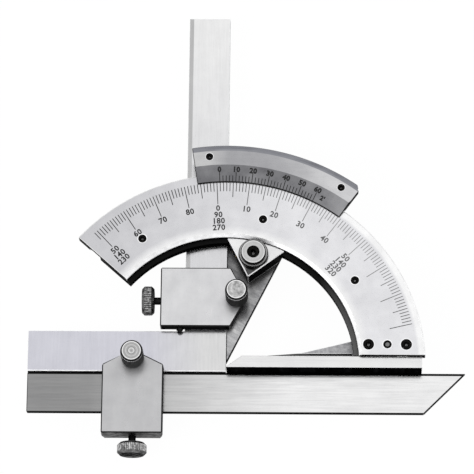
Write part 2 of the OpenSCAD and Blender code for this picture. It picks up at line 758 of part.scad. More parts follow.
module square() {
    color("gainsboro") difference() {
        slab([[0, 0], [0, upright_len], [-blade_w, upright_len], [-blade_w, blade_w],
            [-side_leg_len, blade_w], [-side_leg_len, 0]], 0, blade_t);
        mirror([0, 1, 0]) front_chamfer(-side_leg_len - over, over, square_chamfer);
        post([-lower_clamp_x, knob_offset], clamp_screw_d / 2 + shaft_gap, -over, blade_t + over);
    }
}

module straightedge() {
    color("gainsboro") translate([0, -touch, 0]) difference() {
        slab([[-edge_left_len, 0], [edge_right_len, 0], [edge_right_len - edge_w, -edge_w],
            [-edge_left_len, -edge_w]], 0, blade_t);
        front_chamfer(-edge_left_len - over, edge_right_len + over, edge_bevel);
    }
}

main_plate();
sector_gear();
gear_screws();
base_blade();
base_screws();
base_dowel();
sector_plate();
vernier_bridge();
vernier();
vernier_screws();
bridge_screws();
brake_block();
brake_stud();
lock_nut();
pinion_bush();
pinion();
back_knob();
knob_grub();
upper_clamp_block();
upper_pressure_pad();
upper_pad_pin();
upper_clamp_knob();
upper_thumb_screw();
square();
lower_clamp_block();
lower_pressure_pad();
lower_pad_pin();
lower_clamp_knob();
lower_thumb_screw();
straightedge();
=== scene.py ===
"""Dresses an angle finder with arms: chamfered edges, knurls, degree marks, numbers and steel finishes."""

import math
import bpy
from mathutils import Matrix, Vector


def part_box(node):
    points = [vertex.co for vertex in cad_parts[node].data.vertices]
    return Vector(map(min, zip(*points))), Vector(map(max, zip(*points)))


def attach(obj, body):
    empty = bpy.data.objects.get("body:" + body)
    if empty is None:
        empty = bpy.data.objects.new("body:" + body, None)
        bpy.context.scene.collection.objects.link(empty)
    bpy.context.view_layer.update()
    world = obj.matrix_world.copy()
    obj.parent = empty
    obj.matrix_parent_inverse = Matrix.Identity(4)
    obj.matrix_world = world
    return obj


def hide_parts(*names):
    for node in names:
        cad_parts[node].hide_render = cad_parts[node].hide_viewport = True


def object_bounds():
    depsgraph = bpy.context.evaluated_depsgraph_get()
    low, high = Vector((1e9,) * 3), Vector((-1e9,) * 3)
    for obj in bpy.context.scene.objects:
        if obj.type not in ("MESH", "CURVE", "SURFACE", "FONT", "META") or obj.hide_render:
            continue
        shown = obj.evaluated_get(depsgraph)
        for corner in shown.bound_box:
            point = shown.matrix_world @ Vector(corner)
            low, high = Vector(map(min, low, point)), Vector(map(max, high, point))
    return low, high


bl_info = {
    "name": "Angle Finder with Arms",
    "version": (1, 0, 0),
    "blender": (4, 5, 0),
    "location": "View3D > Sidebar > Angle Finder",
    "description": "Chamfers, knurls, degree marks and steel finishes for an angle finder with arms",
    "category": "Object",
}

import bmesh
import bpy
from mathutils import Matrix, Vector

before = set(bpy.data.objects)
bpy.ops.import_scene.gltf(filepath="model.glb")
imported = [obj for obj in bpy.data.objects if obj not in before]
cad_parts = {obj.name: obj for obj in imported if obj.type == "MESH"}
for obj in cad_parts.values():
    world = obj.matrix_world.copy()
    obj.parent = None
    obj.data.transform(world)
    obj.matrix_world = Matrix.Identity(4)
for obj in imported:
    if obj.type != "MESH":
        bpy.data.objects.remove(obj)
cad_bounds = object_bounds()

MM = 0.001
X, Y, Z = range(3)
VERTEX = (0, 0, 0)      # where the measuring edges meet, and what the sector swings about
WELD = 1e-6             # points nearer than this are one point
FLAT_DEG = 0.3          # faces that meet at less than this are one flat face
CORNER_DEG = 33         # edges that meet at more than this are corners, and get a chamfer
CREASE_DEG = 12         # edges that meet at more than this stay crisp in the shading
HOLE_STEP = 0.6 * MM    # the edges round a screw hole are shorter than this
FLAT, SLOPE, BEVEL, SIDE, EDGE = range(5)            # a machined piece's finishes, by how its faces lie
LEAST_UP = {FLAT: 0.985, SLOPE: 0.93, BEVEL: 0.45}   # least upward part of each one's normal
BORDER = 0.05 * MM      # half the width of a sharp border between two tones
SCALE_R = 72.05 * MM    # where the plate's marks end and the vernier's begin
MARK_T = 0.05 * MM      # thickness of a mark's filling
MARK_PROUD = 0.015 * MM     # how far the filling stands out of its face


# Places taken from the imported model

def middle(node):
    low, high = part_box(node)
    return (low + high) / 2


def size(node):
    low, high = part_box(node)
    return high - low


def solids(node):
    """The lowest and highest corner of each separate solid in a node"""
    bm = bmesh.new()
    bm.from_mesh(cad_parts[node].data)
    bmesh.ops.remove_doubles(bm, verts=bm.verts, dist=WELD)
    left = set(bm.verts)
    found = []
    while left:
        reached = [left.pop()]
        corners = []
        while reached:
            vert = reached.pop()
            corners.append(vert.co.copy())
            near = {edge.other_vert(vert) for edge in vert.link_edges} & left
            left -= near
            reached.extend(near)
        low = Vector(min(co[axis] for co in corners) for axis in (X, Y, Z))
        high = Vector(max(co[axis] for co in corners) for axis in (X, Y, Z))
        found.append((low, high))
    bm.free()
    return sorted(found, key=lambda pair: pair[0].x)


# Settings that a user would change

class FinishSettings(bpy.types.PropertyGroup):
    plate_tone: bpy.props.FloatVectorProperty(
        name="Scale plate", description="Colour of the main plate's face, at its left end",
        default=(0.63, 0.63, 0.65), subtype="COLOR", min=0, max=1)
    square_tone: bpy.props.FloatVectorProperty(
        name="Square", description="Colour of the square's upright",
        default=(0.72, 0.72, 0.735), subtype="COLOR", min=0, max=1)
    clamp_tone: bpy.props.FloatVectorProperty(
        name="Clamps", description="Colour of the upper clamp block's face",
        default=(0.71, 0.71, 0.72), subtype="COLOR", min=0, max=1)
    vernier_tone: bpy.props.FloatVectorProperty(
        name="Vernier", description="Colour of the vernier's flat face, at its left end",
        default=(0.42, 0.42, 0.435), subtype="COLOR", min=0, max=1)
    # The sides' tone is painted shade, standing in for the dark reflections of the upright faces
    side_tone: bpy.props.FloatVectorProperty(
        name="Sides", description="Colour of the painted-dark sides of the plates and arms",
        default=(0.012, 0.012, 0.013), subtype="COLOR", min=0, max=1)
    # The bright chamfers' tone is a painted highlight
    edge_tone: bpy.props.FloatVectorProperty(
        name="Painted edge highlights", description="Colour of the bright chamfers along the edges",
        default=(0.92, 0.92, 0.93), subtype="COLOR", min=0, max=1)
    mark_tone: bpy.props.FloatVectorProperty(
        name="Marks", description="Colour of the filled marks and numbers",
        default=(0.02, 0.02, 0.02), subtype="COLOR", min=0, max=1)
    edge_width: bpy.props.FloatProperty(
        name="Edge chamfer", description="Width of the small chamfer that breaks each sharp edge",
        default=0.14 * MM, min=0.05 * MM, max=0.3 * MM, precision=5, unit="LENGTH")
    hole_width: bpy.props.FloatProperty(
        name="Hole chamfer", description="Width of the bright chamfer round each screw hole",
        default=0.28 * MM, min=0.1 * MM, max=0.4 * MM, precision=5, unit="LENGTH")


class ScaleSettings(bpy.types.PropertyGroup):
    first_degree: bpy.props.IntProperty(
        name="First degree", description="The degree mark nearest to the plate's left end",
        default=-41, min=-44, max=-30)
    last_degree: bpy.props.IntProperty(
        name="Last degree", description="The degree mark nearest to the base",
        default=80, min=60, max=82)
    zero_deg: bpy.props.FloatProperty(
        name="Zero direction", description="Clock angle of the plate's zero mark, in degrees",
        default=-3.2, min=-10, max=10)
    vernier_zero_deg: bpy.props.FloatProperty(
        name="Vernier's zero", description="Clock angle of the vernier's zero mark at rest, in degrees",
        default=-2.3, min=-10, max=10)
    line_width: bpy.props.FloatProperty(
        name="Line width", description="Width of the degree marks",
        default=0.3 * MM, min=0.08 * MM, max=0.4 * MM, precision=5, unit="LENGTH")
    number_weight: bpy.props.FloatProperty(
        name="Number weight", description="How far the strokes of the main plate's numbers are fattened",
        default=0.09 * MM, min=0, max=0.12 * MM, precision=5, unit="LENGTH")
    vernier_number_weight: bpy.props.FloatProperty(
        name="Vernier number weight", description="How far the strokes of the vernier's numbers are fattened",
        default=0.15 * MM, min=0, max=0.2 * MM, precision=5, unit="LENGTH")
    number_height: bpy.props.FloatProperty(
        name="Number height", description="Height of the numbers on the main plate",
        default=2.15 * MM, min=1.2 * MM, max=3 * MM, precision=5, unit="LENGTH")
    vernier_number_height: bpy.props.FloatProperty(
        name="Vernier number height", description="Height of the numbers on the vernier",
        default=1.9 * MM, min=1 * MM, max=2.4 * MM, precision=5, unit="LENGTH")


class KnurlSettings(bpy.types.PropertyGroup):
    knob_teeth: bpy.props.IntProperty(
        name="Knob ridges", description="Ridges round each clamp knob", default=56, min=24, max=96)
    thumb_teeth: bpy.props.IntProperty(
        name="Thumb screw ridges", description="Ridges round each thumb screw", default=46, min=24, max=120)
    nut_teeth: bpy.props.IntProperty(
        name="Nut ridges", description="Ridges round the lock nut", default=80, min=24, max=120)
    depth: bpy.props.FloatProperty(
        name="Ridge depth", description="Depth of the straight knurls",
        default=0.14 * MM, min=0.05 * MM, max=0.3 * MM, precision=5, unit="LENGTH")


class StageSettings(bpy.types.PropertyGroup):
    distance: bpy.props.FloatProperty(
        name="Camera distance", description="Distance of the camera from the point that it looks at",
        default=1.4, min=0.3, max=3, unit="LENGTH")
    tilt_deg: bpy.props.FloatProperty(
        name="Tilt", description="Lean of the camera towards the base, in degrees", default=17, min=0, max=80)
    pan_deg: bpy.props.FloatProperty(
        name="Pan", description="Lean of the camera towards the right, in degrees",
        default=1.65, min=-20, max=20)
    roll_deg: bpy.props.FloatProperty(
        name="Roll", description="Turn of the camera about its own axis, in degrees",
        default=0.72, min=-10, max=10)
    lens: bpy.props.FloatProperty(
        name="Lens", description="Focal length on a 36 mm wide sensor", default=278.3, min=30, max=500)
    shadow: bpy.props.FloatProperty(
        name="Shadow", description="Share of the floor's look that its lit surface gives",
        default=0.05, min=0.02, max=1)


# Nodes of a material

def add_node(tree, kind, sockets=(), output=0, **settings):
    """Adds a node with its settings, fills the sockets that are named, and gives one of its outputs"""
    node = tree.nodes.new("ShaderNode" + kind)
    for name, value in settings.items():
        setattr(node, name, value)
    for name, value in dict(sockets).items():
        join(value, node.inputs[name])
    return node.outputs[output]


def join(value, socket):
    """Sets a socket, or links it if the value is another node's output"""
    if isinstance(value, bpy.types.NodeSocket):
        socket.id_data.links.new(value, socket)
    else:
        socket.default_value = value


class Finish:
    """One material's nodes, added by short calls"""

    def __init__(self, name):
        self.material = bpy.data.materials.new(name)
        self.material.use_nodes = True
        self.tree = self.material.node_tree
        self.shader = self.tree.nodes["Principled BSDF"].inputs
        self.place = self.add("TexCoord", output="Object")

    def add(self, kind, sockets=(), output=0, **settings):
        return add_node(self.tree, kind, sockets, output, **settings)

    def stretched(self, scale, turn_deg=0.0, centre=VERTEX):
        """The place on the object from a centre, turned about Z and then stretched along each axis"""
        moved = self.add("Mapping", {"Vector": self.place, "Location": tuple(-c for c in centre)})
        turned = self.add("Mapping", {"Vector": moved, "Rotation": (0, 0, math.radians(turn_deg))})
        return self.add("Mapping", {"Vector": turned, "Scale": scale})

    def noise(self, vector, scale=1.0, detail=3.0, roughness=0.55):
        return self.add("TexNoise", {
            "Vector": vector, "Scale": scale, "Detail": detail, "Roughness": roughness})

    def even_noise(self, grain, detail=3.0):
        """Noise with the same grain along every axis"""
        return self.noise(self.stretched((grain, grain, grain)), detail=detail)

    def remap(self, value, low, high, new_low=0.0, new_high=1.0):
        """Takes the range from low to high to a new range, and holds the value at its ends"""
        return self.add("MapRange", {
            "Value": value, "From Min": low, "From Max": high, "To Min": new_low, "To Max": new_high})

    def plus(self, first, second):
        return self.add("Math", {0: first, 1: second}, operation="ADD")

    def times(self, first, second):
        return self.add("Math", {0: first, 1: second}, operation="MULTIPLY")

    def mix(self, share, first, second, blend="MIX"):
        return self.add("Mix", {0: share, 6: first, 7: second}, output=2, data_type="RGBA", blend_type=blend)

    def along(self, axis, start, end, turn_deg=0.0):
        """0 at one place along an axis of the object, turned about Z or not, and 1 at another"""
        place = self.stretched((1, 1, 1), turn_deg) if turn_deg else self.place
        return self.remap(self.add("SeparateXYZ", {0: place}, output=axis), start, end)

    def before(self, axis, end):
        """1 before a place along an axis of the object and 0 after it, with a sharp border"""
        return self.along(axis, end + BORDER, end - BORDER)

    def distance(self, centre):
        """Distance from a centre in the plane of the scale"""
        return self.add("VectorMath", {0: self.stretched((1, 1, 0), centre=centre)}, output="Value",
                        operation="LENGTH")

    def reach(self, centre, start, end):
        """0 at one distance from a centre, 1 at another"""
        return self.remap(self.distance(centre), start, end)

    def faded(self, colour, fade):
        """A colour that fades into a far tone between two places along an axis, or stays as it is"""
        if fade is None:
            return colour
        far, axis, start, end = fade
        return self.mix(self.along(axis, start, end), colour, tone(far))

    def metal(self, tint=1.0):
        """Bare metal, whose look at a glancing angle is dulled by a tint below 1"""
        self.shader["Metallic"].default_value = 1.0
        self.shader["Specular Tint"].default_value = tone(grey(tint))

    def surface(self, colour, roughness, height=None, depth=0.01 * MM, strength=0.3, under=None):
        """Joins the colour and the roughness, and a fine bump that lies over a broad one"""
        join(colour, self.shader["Base Color"])
        join(roughness, self.shader["Roughness"])
        if height is not None:
            bump = {"Height": height, "Distance": depth, "Strength": strength}
            if under is not None:
                bump["Normal"] = under
            join(self.add("Bump", bump), self.shader["Normal"])
        return self.material


def tone(colour, factor=1.0):
    """An opaque colour, made lighter or darker"""
    return tuple(min(1.0, c * factor) for c in colour) + (1.0,)


def grey(level):
    return (level, level, level)


def ground(name, near, fade=None, grain=(160, 160, 160), turn_deg=0.0, streak=0.1, mottle=0.06, rough=0.24,
           zones=(), crown=None):
    """Ground steel with a streaked grain, soft blotches and small specks.

    A fade is the far tone, the axis, and the two places between which the near tone turns into it.
    Each zone is a function of the finish that gives a share, and the tone that it brings in. A crown
    is such a function and a height, and tips the reflections as if the face rose by that height.
    """
    stain = (0.1, 0.1, 0.13, 1.0)
    finish = Finish(name)
    streaks = finish.noise(finish.stretched(grain, turn_deg), detail=4.0, roughness=0.6)
    blotches = finish.even_noise(140)
    specks = finish.even_noise(2200, detail=2.0)
    colour = finish.faded(tone(near), fade)
    for share, zone in zones:
        colour = finish.mix(share(finish), colour, tone(zone))
    worn = finish.plus(finish.times(finish.remap(streaks, 0.35, 0.65), streak),
                       finish.times(finish.remap(blotches, 0.3, 0.7), mottle))
    worn = finish.plus(worn, finish.times(finish.remap(specks, 0.6, 0.75), mottle))
    colour = finish.mix(worn, colour, stain, "MULTIPLY")
    finish.metal()
    broad = None
    if crown is not None:
        share, rise = crown
        broad = finish.add("Bump", {"Height": share(finish), "Distance": rise, "Strength": 1.0})
    roughness = finish.remap(streaks, 0.3, 0.7, rough - 0.04, rough + 0.05)
    return finish.surface(colour, roughness, streaks, depth=0.012 * MM, strength=0.2, under=broad)


def blackened(name, face, grain=(400, 400, 60)):
    """Painted shade: a near-black tone that stands in for the dark reflections of upright sides and ends,
    left as they were cut, with faint marks of the cutter
    """
    finish = Finish(name)
    cut = finish.noise(finish.stretched(grain))
    colour = finish.mix(finish.remap(cut, 0.35, 0.65), tone(face, 0.6), tone(face, 1.7))
    finish.metal(0.3)
    return finish.surface(colour, finish.remap(cut, 0.3, 0.7, 0.3, 0.45), cut, strength=0.2)


def painted_chamfer(name, face):
    """Chamfers of one painted tone: bright ones are a painted highlight and dark ones painted shade, with
    duller places where they are worn
    """
    finish = Finish(name)
    wear = finish.even_noise(500, detail=2.0)
    colour = finish.mix(finish.remap(wear, 0.4, 0.65), tone(face), tone(face, 0.86))
    finish.metal()
    return finish.surface(colour, 0.5, wear, strength=0.1)


def turned_face(name, face, centre, rim_r, rim_w=0.2 * MM, ring=0.22 * MM, contrast=0.3, blotch=0.25):
    """A turned end face: fine rings round its axis, soft blotches and a bright rim painted as a highlight"""
    finish = Finish(name)
    radius = finish.distance(centre)
    rings = finish.noise(finish.add("CombineXYZ", {0: radius}), scale=1 / ring, detail=2.0)
    blotches = finish.times(finish.remap(finish.even_noise(650), 0.35, 0.65), blotch)
    colour = finish.mix(finish.remap(rings, 0.35, 0.65), tone(face, 1 - contrast), tone(face, 1.1))
    colour = finish.mix(blotches, colour, tone(face, 0.4))
    # Painted highlight: a bright ring just inside the rim
    colour = finish.mix(finish.remap(radius, rim_r - rim_w, rim_r - 0.6 * rim_w), colour, tone(grey(0.95)))
    finish.metal()
    return finish.surface(colour, finish.remap(rings, 0.3, 0.7, 0.26, 0.36), rings, strength=0.2)


def knurled(name, ridge, groove, tint=0.4, oily=0.6):
    """A straight knurl: lighter ridges, dull where the share is oily, and grooves painted near black as shade
    in the recesses
    """
    finish = Finish(name)
    worn = finish.add("Attribute", output="Fac", attribute_name="ridge")
    speckle = finish.even_noise(1200)
    share = finish.times(worn, finish.remap(speckle, 0.35, 0.65, oily, 1.0))
    colour = finish.mix(share, tone(groove), tone(ridge))
    finish.metal(tint)
    return finish.surface(colour, finish.remap(speckle, 0.3, 0.7, 0.28, 0.4), speckle, strength=0.2)


def plain_steel(name, face, rough=0.38, grain=1200, tint=0.6, fade=None, spread=0.2):
    """Small steel parts with a fine grain and darker patches of oil, of one tone or fading into another"""
    finish = Finish(name)
    speckle = finish.even_noise(grain)
    patches = finish.times(finish.even_noise(260, detail=2.0), 0.4)
    colour = finish.mix(finish.remap(speckle, 0.3, 0.7), tone(face, 1 - spread), tone(face, 1 + spread))
    colour = finish.mix(patches, finish.faded(colour, fade), tone(grey(0.5)), "MULTIPLY")
    finish.metal(tint)
    return finish.surface(colour, finish.remap(speckle, 0.3, 0.7, rough - 0.05, rough + 0.08), speckle)


def black_oxide():
    """Blackened screws: near black, with a dull sheen and faint brown patches"""
    level = 0.004
    finish = Finish("black_oxide")
    patches = finish.even_noise(900)
    brown = (level * 3, level * 2.7, level * 2.4)
    colour = finish.mix(finish.remap(patches, 0.4, 0.7), tone(grey(level)), tone(brown))
    finish.shader["Specular IOR Level"].default_value = 0.03
    return finish.surface(colour, finish.remap(patches, 0.3, 0.7, 0.35, 0.5), patches)


def mark_fill(name, colour, worn=None):
    """Filling of the engraved marks and numbers, worn lighter in places, and lighter towards the plate's
    upper right
    """
    finish = Finish(name)
    wear = finish.even_noise(1500, detail=2.0)
    filling = finish.mix(finish.remap(wear, 0.45, 0.8), tone(colour), tone(colour, 2.5))
    if worn is not None:
        # Lighter towards the plate's upper right
        share = finish.times(finish.along(X, -10 * MM, 42 * MM), finish.along(Y, 5 * MM, 42 * MM))
        filling = finish.mix(share, filling, tone(worn))
    finish.shader["Specular IOR Level"].default_value = 0.1
    return finish.surface(filling, 0.6)


# Making pieces

def put_in_scene(bm, name, body, materials, stands_for=()):
    """Turns a bmesh into a finished piece that rides on a body and takes over its nodes"""
    bmesh.ops.remove_doubles(bm, verts=bm.verts, dist=WELD)
    bmesh.ops.recalc_face_normals(bm, faces=bm.faces)
    for face in bm.faces:
        face.smooth = True
    for edge in bm.edges:
        edge.smooth = edge.calc_face_angle(math.pi) < math.radians(CREASE_DEG)
    mesh = bpy.data.meshes.new(name)
    bm.to_mesh(mesh)
    bm.free()
    for material in materials:
        mesh.materials.append(material)
    piece = bpy.data.objects.new(name, mesh)
    bpy.context.scene.collection.objects.link(piece)
    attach(piece, body)
    if stands_for:
        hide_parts(*stands_for)


def lie_of(face):
    """Which finish a face takes: flat, gently sloped, bevelled or upright"""
    for lie, least in LEAST_UP.items():
        if abs(face.normal.z) > least:
            return lie
    return SIDE


def machined(node, body, looks, edge_width, hole_width=None, special=(), chosen=None):
    """A copy of a node with a small chamfer along each of its sharp edges, finished face by face.

    Each special finish comes with the test that a face has to pass to get it. The screw holes in
    the top face get a wide, shallow chamfer instead, painted bright as a highlight. If there is a
    test for the edges, only those that pass it get a chamfer.
    """
    looks = looks + [look for _, look in special] + [edge_look()]
    bm = bmesh.new()
    bm.from_mesh(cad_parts[node].data)
    bmesh.ops.remove_doubles(bm, verts=bm.verts, dist=WELD)
    bmesh.ops.dissolve_limit(bm, angle_limit=math.radians(FLAT_DEG), verts=bm.verts, edges=bm.edges)
    for face in bm.faces:
        face.material_index = lie_of(face)
        for index, (test, _) in enumerate(special):
            if test(face):
                face.material_index = EDGE + 1 + index
    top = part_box(node)[1].z
    just_under = top - 10 * WELD
    corners = [edge for edge in bm.edges if edge.calc_face_angle(0) > math.radians(CORNER_DEG)]
    if hole_width:
        hole_depth = hole_width / 5
        rims = [edge for edge in corners if edge.calc_length() < HOLE_STEP
                and min(vert.co.z for vert in edge.verts) > just_under]
        rings = bmesh.ops.bevel(bm, geom=rims, offset=hole_width, offset_type="OFFSET", affect="EDGES",
                                segments=1, profile=0.5, material=len(looks) - 1, clamp_overlap=False)
        for vert in rings["verts"]:
            vert.co.z = max(vert.co.z, top - hole_depth)
    corners = [edge for edge in corners if edge.is_valid and edge.calc_length() >= HOLE_STEP
               and (chosen is None or chosen(edge))]
    bmesh.ops.bevel(bm, geom=corners, offset=edge_width, offset_type="OFFSET", affect="EDGES",
                    segments=1, profile=0.5, material=EDGE, clamp_overlap=False)
    put_in_scene(bm, node + "_machined", body, looks, [node])


def dress_node(node, material):
    """Gives a node that keeps its own shape a finish of its own"""
    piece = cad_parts[node]
    piece.data.materials.clear()
    piece.data.materials.append(material)


def turned(profile, steps):
    """A body of revolution about Z, from pairs of radius and height"""
    bm = bmesh.new()
    bm.verts.layers.float.new("ridge")
    chain = [bm.verts.new((radius, 0, height)) for radius, height in profile]
    links = [bm.edges.new(pair) for pair in zip(chain, chain[1:])]
    bmesh.ops.spin(bm, geom=chain + links, cent=(0, 0, 0), axis=(0, 0, 1), angle=2 * math.pi,
                   steps=steps, use_merge=True, use_duplicate=False)
    bmesh.ops.remove_doubles(bm, verts=bm.verts, dist=WELD)
    bmesh.ops.recalc_face_normals(bm, faces=bm.faces)
    for face in bm.faces:
        face.material_index = min(lie_of(face), SIDE)
    return bm


def knurl(bm, ridges, depth, low, high, outer):
    """Straight knurl: every second line of points between two heights goes in by the depth"""
    ridge = bm.verts.layers.float["ridge"]
    step = math.pi / ridges
    for vert in bm.verts:
        radius = vert.co.xy.length
        line = round(math.atan2(vert.co.y, vert.co.x) / step)
        if low - WELD <= vert.co.z <= high + WELD and radius > outer - depth:
            vert[ridge] = 1 - line % 2
            if line % 2:
                vert.co.xy = vert.co.xy * (radius - depth) / radius


def stand_at(bm, place):
    """Moves an upright body of revolution to the axis through a place, and gives the axis's foot"""
    foot = (place.x, place.y, 0)
    bmesh.ops.translate(bm, vec=foot, verts=bm.verts)
    return foot


def lay_along(bm, node, axis):
    """Lays a body of revolution in its node's place, from its highest end along X or Y downwards"""
    towards = Vector((-1, 0, 0)) if axis == X else Vector((0, -1, 0))
    start = middle(node)
    start[axis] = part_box(node)[1][axis]
    place = Matrix.Translation(start) @ towards.to_track_quat("Z", "X").to_matrix().to_4x4()
    bmesh.ops.transform(bm, matrix=place, verts=bm.verts)


def hexagon_radius(angle, across_flats):
    """Distance from the middle of a hexagon to its side in one direction"""
    sixth = math.pi / 3
    return across_flats / 2 / math.cos((angle + sixth / 2) % sixth - sixth / 2)


def points_of(items):
    """Those of some items that are points"""
    return [item for item in items if isinstance(item, bmesh.types.BMVert)]


def open_edges(items):
    """Those of some items that are edges of only one face"""
    return [item for item in items if isinstance(item, bmesh.types.BMEdge) and len(item.link_faces) == 1]


def socket_screw(place, head_r, shank_r, low, top, head_t):
    """A screw with a hexagon socket in its head, along Z at a place"""
    chamfer = 0.12 * MM
    across_flats = 0.95 * head_r
    mouth_r = 0.62 * across_flats
    socket_t = 0.55 * head_t
    floor_rim = 0.28 * across_flats
    steps = 48
    bm = turned([(0, low), (shank_r, low), (shank_r, top - head_t), (head_r, top - head_t),
                 (head_r, top - chamfer), (head_r - chamfer, top), (mouth_r, top)], steps)
    wall = bmesh.ops.extrude_edge_only(bm, edges=open_edges(bm.edges))["geom"]
    for vert in points_of(wall):
        angle = math.atan2(vert.co.y, vert.co.x)
        reach = hexagon_radius(angle, across_flats)
        vert.co = (reach * math.cos(angle), reach * math.sin(angle), top)
    deep = bmesh.ops.extrude_edge_only(bm, edges=open_edges(wall))["geom"]
    floor_ring = open_edges(deep)
    bmesh.ops.translate(bm, vec=(0, 0, -socket_t), verts=points_of(deep))
    floor = bmesh.ops.contextual_create(bm, geom=floor_ring)["faces"]
    bmesh.ops.inset_individual(bm, faces=floor, thickness=floor_rim, depth=0)
    for face in bm.faces:
        # Painted highlight: the socket's floor takes the second, lighter finish
        face.material_index = int(face in floor)
    stand_at(bm, place)
    return bm


def joined(parts):
    """One bmesh that holds several"""
    whole = bmesh.new()
    for part in parts:
        mesh = bpy.data.meshes.new("part")
        part.to_mesh(mesh)
        part.free()
        whole.from_mesh(mesh)
        bpy.data.meshes.remove(mesh)
    return whole


def line_mark(bm, inner_r, outer_r, degrees, width, low, high):
    """A filled line along a radius, on a face that rises from low to high between its two ends"""
    length = math.hypot(outer_r - inner_r, high - low)
    slant = math.atan2(high - low, outer_r - inner_r)
    middle_height = (low + high) / 2 + MARK_PROUD - MARK_T / 2
    verts = bmesh.ops.create_cube(bm, size=1.0)["verts"]
    place = (Matrix.Rotation(-math.radians(degrees), 4, "Z")
             @ Matrix.Translation((0, (inner_r + outer_r) / 2, middle_height))
             @ Matrix.Rotation(slant, 4, "X")
             @ Matrix.Diagonal((width, length, MARK_T, 1.0)))
    bmesh.ops.transform(bm, matrix=place, verts=verts)


def number_mark(bm, text, radius, degrees, height, weight, face_height, slant=0.0):
    """A number that stands along the arc, with its middle at a radius"""
    capital_share = 0.7
    spacing = 1.06
    curve = bpy.data.curves.new("digits", "FONT")
    curve.body = text
    curve.size = height / capital_share
    curve.space_character = spacing
    curve.offset = weight
    curve.align_x = "CENTER"
    curve.extrude = MARK_T / 2
    curve.resolution_u = 2
    holder = bpy.data.objects.new("digits", curve)
    bpy.context.scene.collection.objects.link(holder)
    bpy.context.view_layer.update()
    mesh = bpy.data.meshes.new_from_object(holder.evaluated_get(bpy.context.evaluated_depsgraph_get()))
    bpy.data.objects.remove(holder)
    bpy.data.curves.remove(curve)
    mesh.transform(Matrix.Rotation(-math.radians(degrees), 4, "Z")
                   @ Matrix.Translation((0, radius, face_height + MARK_PROUD - MARK_T / 2))
                   @ Matrix.Rotation(slant, 4, "X")
                   @ Matrix.Translation((0, -height / 2, 0)))
    bm.from_mesh(mesh)
    bpy.data.meshes.remove(mesh)


# Pieces, one operator for each group

def finishes():
    return bpy.context.scene.angle_finder_finish


def shared(name, make, *values):
    """A finish that several pieces share, made once"""
    return bpy.data.materials.get(name) or make(name, *values)


# Painted shade on the upright sides of the machined pieces
def side_look():
    return shared("oil_black_sides", blackened, finishes().side_tone)


# Painted highlight on the chamfers and on the screw holes' rims
def edge_look():
    return shared("rubbed_edges", painted_chamfer, finishes().edge_tone)


# Painted shade: near-black chamfers that draw dark outlines along edges
def dark_edge_look():
    return shared("dull_edges", painted_chamfer, grey(0.02))


class ANGLE_FINDER_OT_base_side(bpy.types.Operator):
    """Main plate, sector gear and base blade"""
    bl_idname = "angle_finder.base_side"
    bl_label = "Base side"

    def execute(self, context):
        looks = finishes()
        rim_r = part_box("main_plate")[1].y
        bevel_r = rim_r - 23.6 * MM
        foot_top = 5 * MM

        def rim_highlight(finish):
            """Painted highlight along the right part of the plate's rim"""
            return finish.times(finish.along(X, 5 * MM, 45 * MM),
                                finish.reach(VERTEX, rim_r - 3 * MM, rim_r - 2 * MM))

        def bevel_highlight(finish):
            """Painted highlight: a bright ring along the plate's inner bevel"""
            return finish.reach(VERTEX, bevel_r + 3 * MM, bevel_r)

        def foot_face(face):
            """Whether a face is the low flat one between the bar and the plate"""
            return lie_of(face) == FLAT and face.calc_center_median().z < foot_top

        def bar_slope(face):
            """Whether a face is the steep one on the back of the bar"""
            return 0.2 < face.normal.z < 0.5

        plate = ground("plate_steel", looks.plate_tone, ((0.81, 0.81, 0.83), X, -40 * MM, 25 * MM),
                       grain=(260, 260, 260), streak=0.06, mottle=0.1,
                       zones=[(rim_highlight, grey(0.98)), (bevel_highlight, grey(0.95))])
        # Painted highlight: the plate's edge chamfers are light grey, and its hole chamfers bright
        machined("main_plate", "base_frame",
                 [plate, edge_look(), edge_look(), side_look(), painted_chamfer("plate_edge_highlight", grey(0.78))],
                 looks.edge_width, looks.hole_width)
        bar = ground("bar_steel", grey(0.84), grain=(25, 900, 900), mottle=0.05)
        # Painted shade: the bar's slope, its bevels and the steep face on its back are near black
        back = blackened("bar_back_steel", grey(0.012))
        gusset = ground("gusset_steel", (0.5, 0.5, 0.51), grain=(700, 700, 700), streak=0.35, mottle=0.2,
                        rough=0.32)
        machined("base_blade", "base_frame", [bar, back, back, side_look(), edge_look()],
                 looks.edge_width, looks.hole_width, [(foot_face, gusset), (bar_slope, back)])
        dress_node("sector_gear", plain_steel("gear_steel", grey(0.008), rough=0.42, tint=0.3,
                                              fade=(grey(0.11), X, 35 * MM, 48 * MM)))
        return {"FINISHED"}


